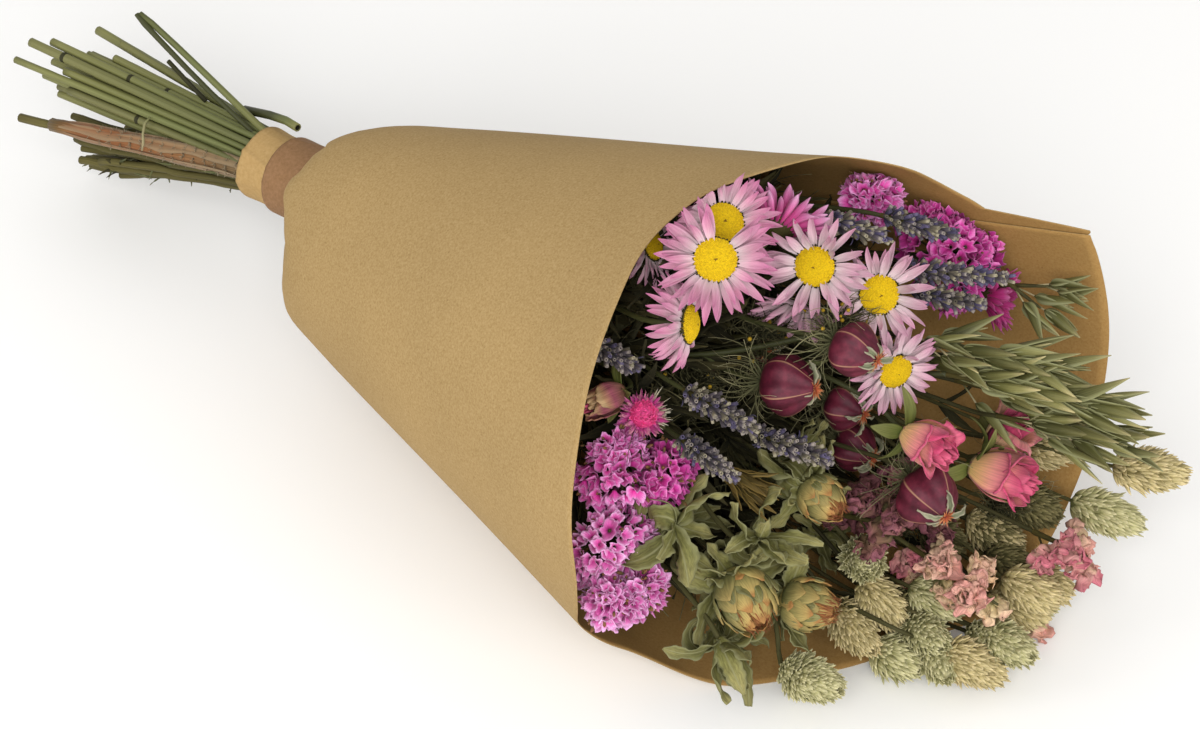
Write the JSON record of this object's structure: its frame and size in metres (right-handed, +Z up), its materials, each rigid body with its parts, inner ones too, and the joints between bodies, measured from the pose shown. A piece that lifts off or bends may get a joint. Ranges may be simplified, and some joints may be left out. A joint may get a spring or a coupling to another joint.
{
  "type": "dried mixed flower bouquet",
  "caption": "Dried mixed flower bouquet rolled in a kraft paper cone, gathered and tied at the neck with bare cut stems beyond, lying on its side.",
  "frame": {"origin": "middle of the bouquet's footprint on the surface it lies on", "axes": "+X toward the blooms along the bouquet's length, +Z up, +Y to the far side as the picture sees it"},
  "size_m": [0.4618, 0.2004, 0.187],
  "materials": {
    "kraft_paper": "matte tan kraft paper with fine darker flecks",
    "sleeve_paper": "matte tan crepe paper with lengthwise wrinkles",
    "band_paper": "matte pinkish-brown paper with cross creases",
    "daisy": "dry papery pale-pink petals round a yellow disc",
    "everlasting": "dry papery magenta petals",
    "statice": "dry papery magenta-lilac florets",
    "lavender": "dry downy grey-violet calyxes",
    "nigella": "dry satin burgundy pods with green horns",
    "rose": "dry pink petals with cream bases",
    "carthamus": "dry tan-green bracts",
    "larkspur": "dry crumpled cream and pink florets",
    "phalaris": "dry pale green feathery grass heads",
    "oats": "dry satin green husks",
    "leaves": "dry matte olive leaves and threads"
  },
  "bodies": {
    "root": {"kraft_wrap": "kraft_paper", "neck_sleeve": "sleeve_paper", "neck_band": "band_paper", "daisy_1": "daisy", "daisy_2": "daisy", "daisy_3": "daisy", "daisy_4": "daisy", "daisy_5": "daisy", "daisy_6": "daisy", "daisy_7": "daisy", "daisy_8": "daisy", "daisy_9": "daisy", "daisy_10": "daisy", "everlasting": "everlasting", "statice_1": "statice", "statice_2": "statice", "statice_3": "statice", "statice_4": "statice", "lavender_1": "lavender", "lavender_2": "lavender", "lavender_3": "lavender", "lavender_4": "lavender", "lavender_5": "lavender", "lavender_6": "lavender", "lavender_7": "lavender", "lavender_8": "lavender", "nigella_1": "nigella", "nigella_2": "nigella", "nigella_3": "nigella", "nigella_4": "nigella", "nigella_5": "nigella", "rose_1": "rose", "rose_2": "rose", "rose_3": "rose", "rose_4": "rose", "carthamus_1": "carthamus", "carthamus_2": "carthamus", "carthamus_3": "carthamus", "larkspur_1": "larkspur", "larkspur_2": "larkspur", "larkspur_3": "larkspur", "phalaris_1": "phalaris", "phalaris_2": "phalaris", "phalaris_3": "phalaris", "phalaris_4": "phalaris", "phalaris_5": "phalaris", "phalaris_6": "phalaris", "phalaris_7": "phalaris", "phalaris_8": "phalaris", "phalaris_9": "phalaris", "phalaris_10": "phalaris", "oats_1": "oats", "oats_2": "oats", "oats_3": "oats", "oats_4": "oats", "moss": "leaves", "leafy_1": "leaves", "leafy_2": "leaves", "leafy_3": "leaves", "bracts": "leaves"}
  },
  "joints": []
}
